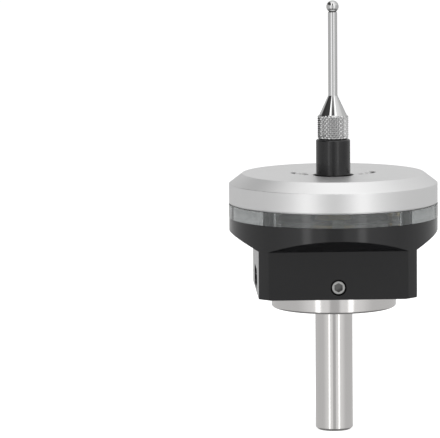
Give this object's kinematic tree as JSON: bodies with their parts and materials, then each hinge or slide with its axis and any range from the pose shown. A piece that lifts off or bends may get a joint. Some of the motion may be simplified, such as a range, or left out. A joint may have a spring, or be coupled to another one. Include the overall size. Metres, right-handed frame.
{
  "type": "edge finder",
  "caption": "Touch-trigger edge finder: round shank and flange, flatted case, light ring, cap, and a ball stylus on a sprung three-arm seat.",
  "frame": {"origin": "on the axis, in the plane of the shoulder where the shank meets its flange", "axes": "+Z along the axis towards the stylus ball, -X through the plug socket"},
  "size_m": [0.0335, 0.0334, 0.0691],
  "materials": {
    "ground_steel": "ground",
    "black_anodised": "satin",
    "blasted_aluminium": "bead-blasted",
    "smoked_acrylic": "clear, gloss",
    "black_holder": "gloss",
    "polished_steel": "polished",
    "black_rubber": "smooth",
    "screw_steel": "bright",
    "spring_steel": "drawn",
    "board_laminate": "solder mask",
    "plate_laminate": "machined",
    "black_plastic": "moulded",
    "lamp_plastic": "clear",
    "gold_contact": "plated",
    "hub_brass": "turned"
  },
  "bodies": {
    "case": {"shank": "ground_steel", "housing": "black_anodised", "light_ring": "smoked_acrylic", "cap": "blasted_aluminium", "main_board": "board_laminate", "leds": "lamp_plastic", "usb_board": "board_laminate", "control_chip": "black_plastic", "usb_socket": "polished_steel", "usb_tongue": "black_plastic", "pin_strip": "black_plastic", "board_pins": "gold_contact", "contact_pins": "gold_contact", "seat_plate": "plate_laminate", "seat_balls": "polished_steel", "case_screws": "screw_steel", "shank_screw": "screw_steel", "grub_screws": "screw_steel", "seat_screws": "screw_steel", "board_screws": "screw_steel"},
    "spring": {"return_spring": "spring_steel"},
    "seal": {"dust_seal": "black_rubber"},
    "stylus": {"contact_hub": "hub_brass", "contact_arms": "polished_steel", "stylus_holder": "black_holder", "stylus": "polished_steel", "stylus_ball": "polished_steel"}
  },
  "joints": [
    {"name": "tilt_left", "type": "hinge", "parent": "case", "child": "seal", "pos_m": [0.00281, 0.00162, 0.01685], "axis": [0.5, -0.866, 0], "range_deg": [0, 5], "stiffness_Nm_per_rad": 0.004, "springref_deg": -57.3, "deforming": ["dust_seal"]},
    {"name": "tilt_right", "type": "hinge", "parent": "seal", "child": "spring", "pos_m": [-0.00281, 0.00162, 0.01685], "axis": [0.5, 0.866, 0], "range_deg": [0, 5], "stiffness_Nm_per_rad": 0.004, "springref_deg": -57.3},
    {"name": "stylus_press", "type": "slide", "parent": "spring", "child": "stylus", "axis": [0, 0, -1], "range_m": [0, 0.003], "stiffness_N_per_m": 400, "springref_m": -0.004, "deforming": ["return_spring"]}
  ]
}
